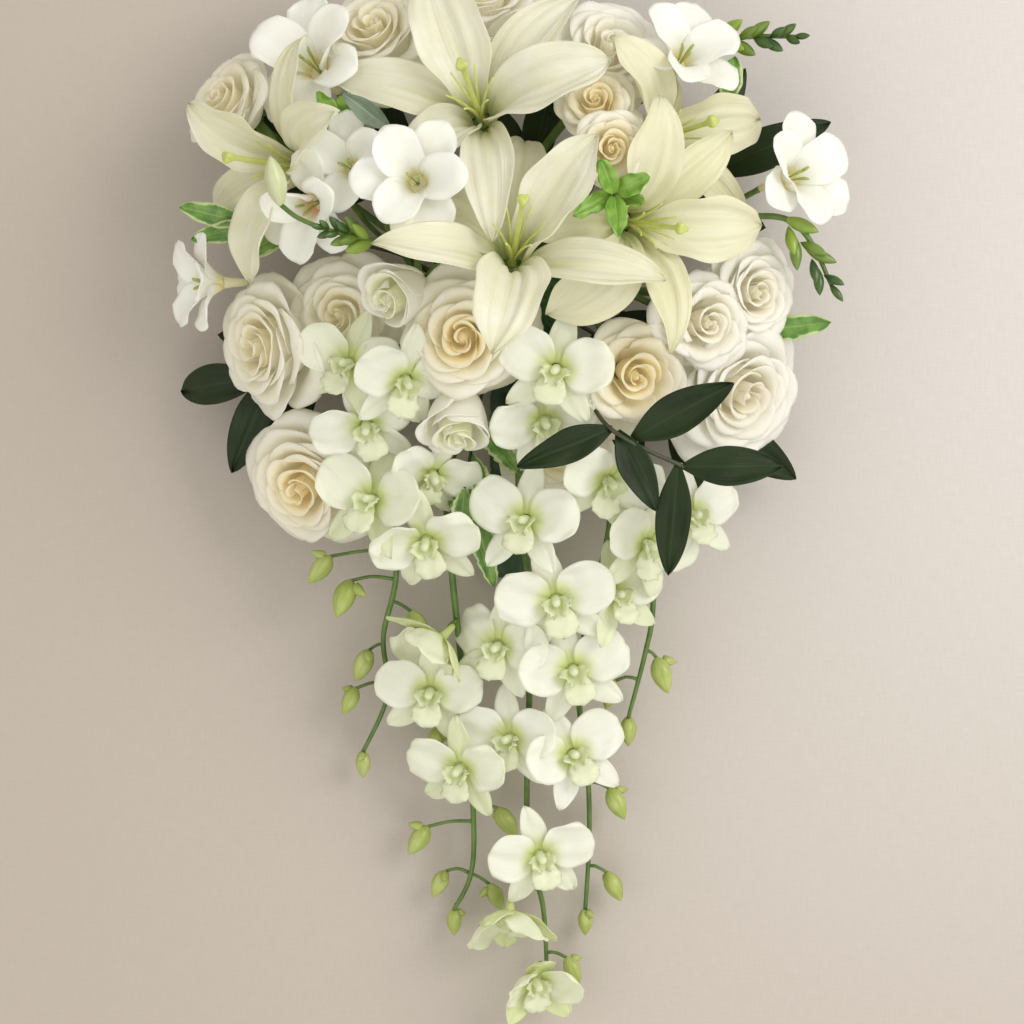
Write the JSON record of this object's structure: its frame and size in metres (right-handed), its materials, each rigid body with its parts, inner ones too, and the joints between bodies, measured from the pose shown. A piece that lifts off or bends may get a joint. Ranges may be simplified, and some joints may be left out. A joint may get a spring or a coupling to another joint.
{
  "type": "cascade bridal bouquet",
  "caption": "Cascade bouquet of lilies, roses, freesias and trailing orchid sprays with dark leaves, set in a foam holder with a handle and lying on its back.",
  "frame": {"origin": "middle of the holder's flat back, on the surface that the bouquet lies on", "axes": "+Y from the tip of the cascade to the top of the head, +X to the right seen from the front, +Z the way the flowers face"},
  "size_m": [0.3455, 0.5469, 0.1759],
  "materials": {
    "lily_cream": "satin",
    "lily_green": "satin",
    "rose_peach": "matte",
    "rose_white": "matte",
    "rose_cream": "matte",
    "freesia_white": "satin",
    "bud_green": "satin",
    "orchid_white": "satin",
    "ruscus_green": "gloss",
    "variegated_green": "satin",
    "olive_grey": "satin",
    "foam_green": "matte",
    "holder_plastic": "satin"
  },
  "bodies": {
    "root": {"bud_spray_1": "bud_green", "bud_spray_2": "bud_green", "bud_spray_3": "bud_green", "cage": "holder_plastic", "foam": "foam_green", "freesia_1": "freesia_white", "freesia_2": "freesia_white", "freesia_3": "freesia_white", "freesia_4": "freesia_white", "freesia_5": "freesia_white", "freesia_6": "freesia_white", "freesia_7": "freesia_white", "holder": "holder_plastic", "lily_1": "lily_cream", "lily_2": "lily_cream", "lily_3": "lily_cream", "lily_4": "lily_cream", "lily_5": "lily_cream", "olive_twig": "olive_grey", "orchid_spray_1": "orchid_white", "orchid_spray_2": "orchid_white", "orchid_spray_3": "orchid_white", "orchid_spray_4": "orchid_white", "orchid_spray_5": "orchid_white", "pistil_1": "lily_green", "pistil_2": "lily_green", "pistil_3": "lily_green", "pistil_4": "lily_green", "pistil_5": "lily_green", "pittosporum_1": "variegated_green", "pittosporum_2": "variegated_green", "pittosporum_3": "variegated_green", "pittosporum_4": "variegated_green", "pittosporum_5": "variegated_green", "pittosporum_6": "variegated_green", "rose_1": "rose_peach", "rose_10": "rose_cream", "rose_2": "rose_cream", "rose_3": "rose_peach", "rose_4": "rose_white", "rose_5": "rose_white", "rose_6": "rose_cream", "rose_7": "rose_cream", "rose_8": "rose_cream", "rose_9": "rose_white", "rosebud_1": "rose_cream", "rosebud_2": "rose_cream", "ruscus_1": "ruscus_green", "ruscus_2": "ruscus_green", "ruscus_3": "ruscus_green", "ruscus_4": "ruscus_green", "ruscus_5": "ruscus_green", "ruscus_6": "ruscus_green", "spray_rose_1": "rose_peach", "spray_rose_2": "rose_white", "spray_rose_3": "rose_white", "spray_rose_4": "rose_cream"}
  },
  "joints": []
}
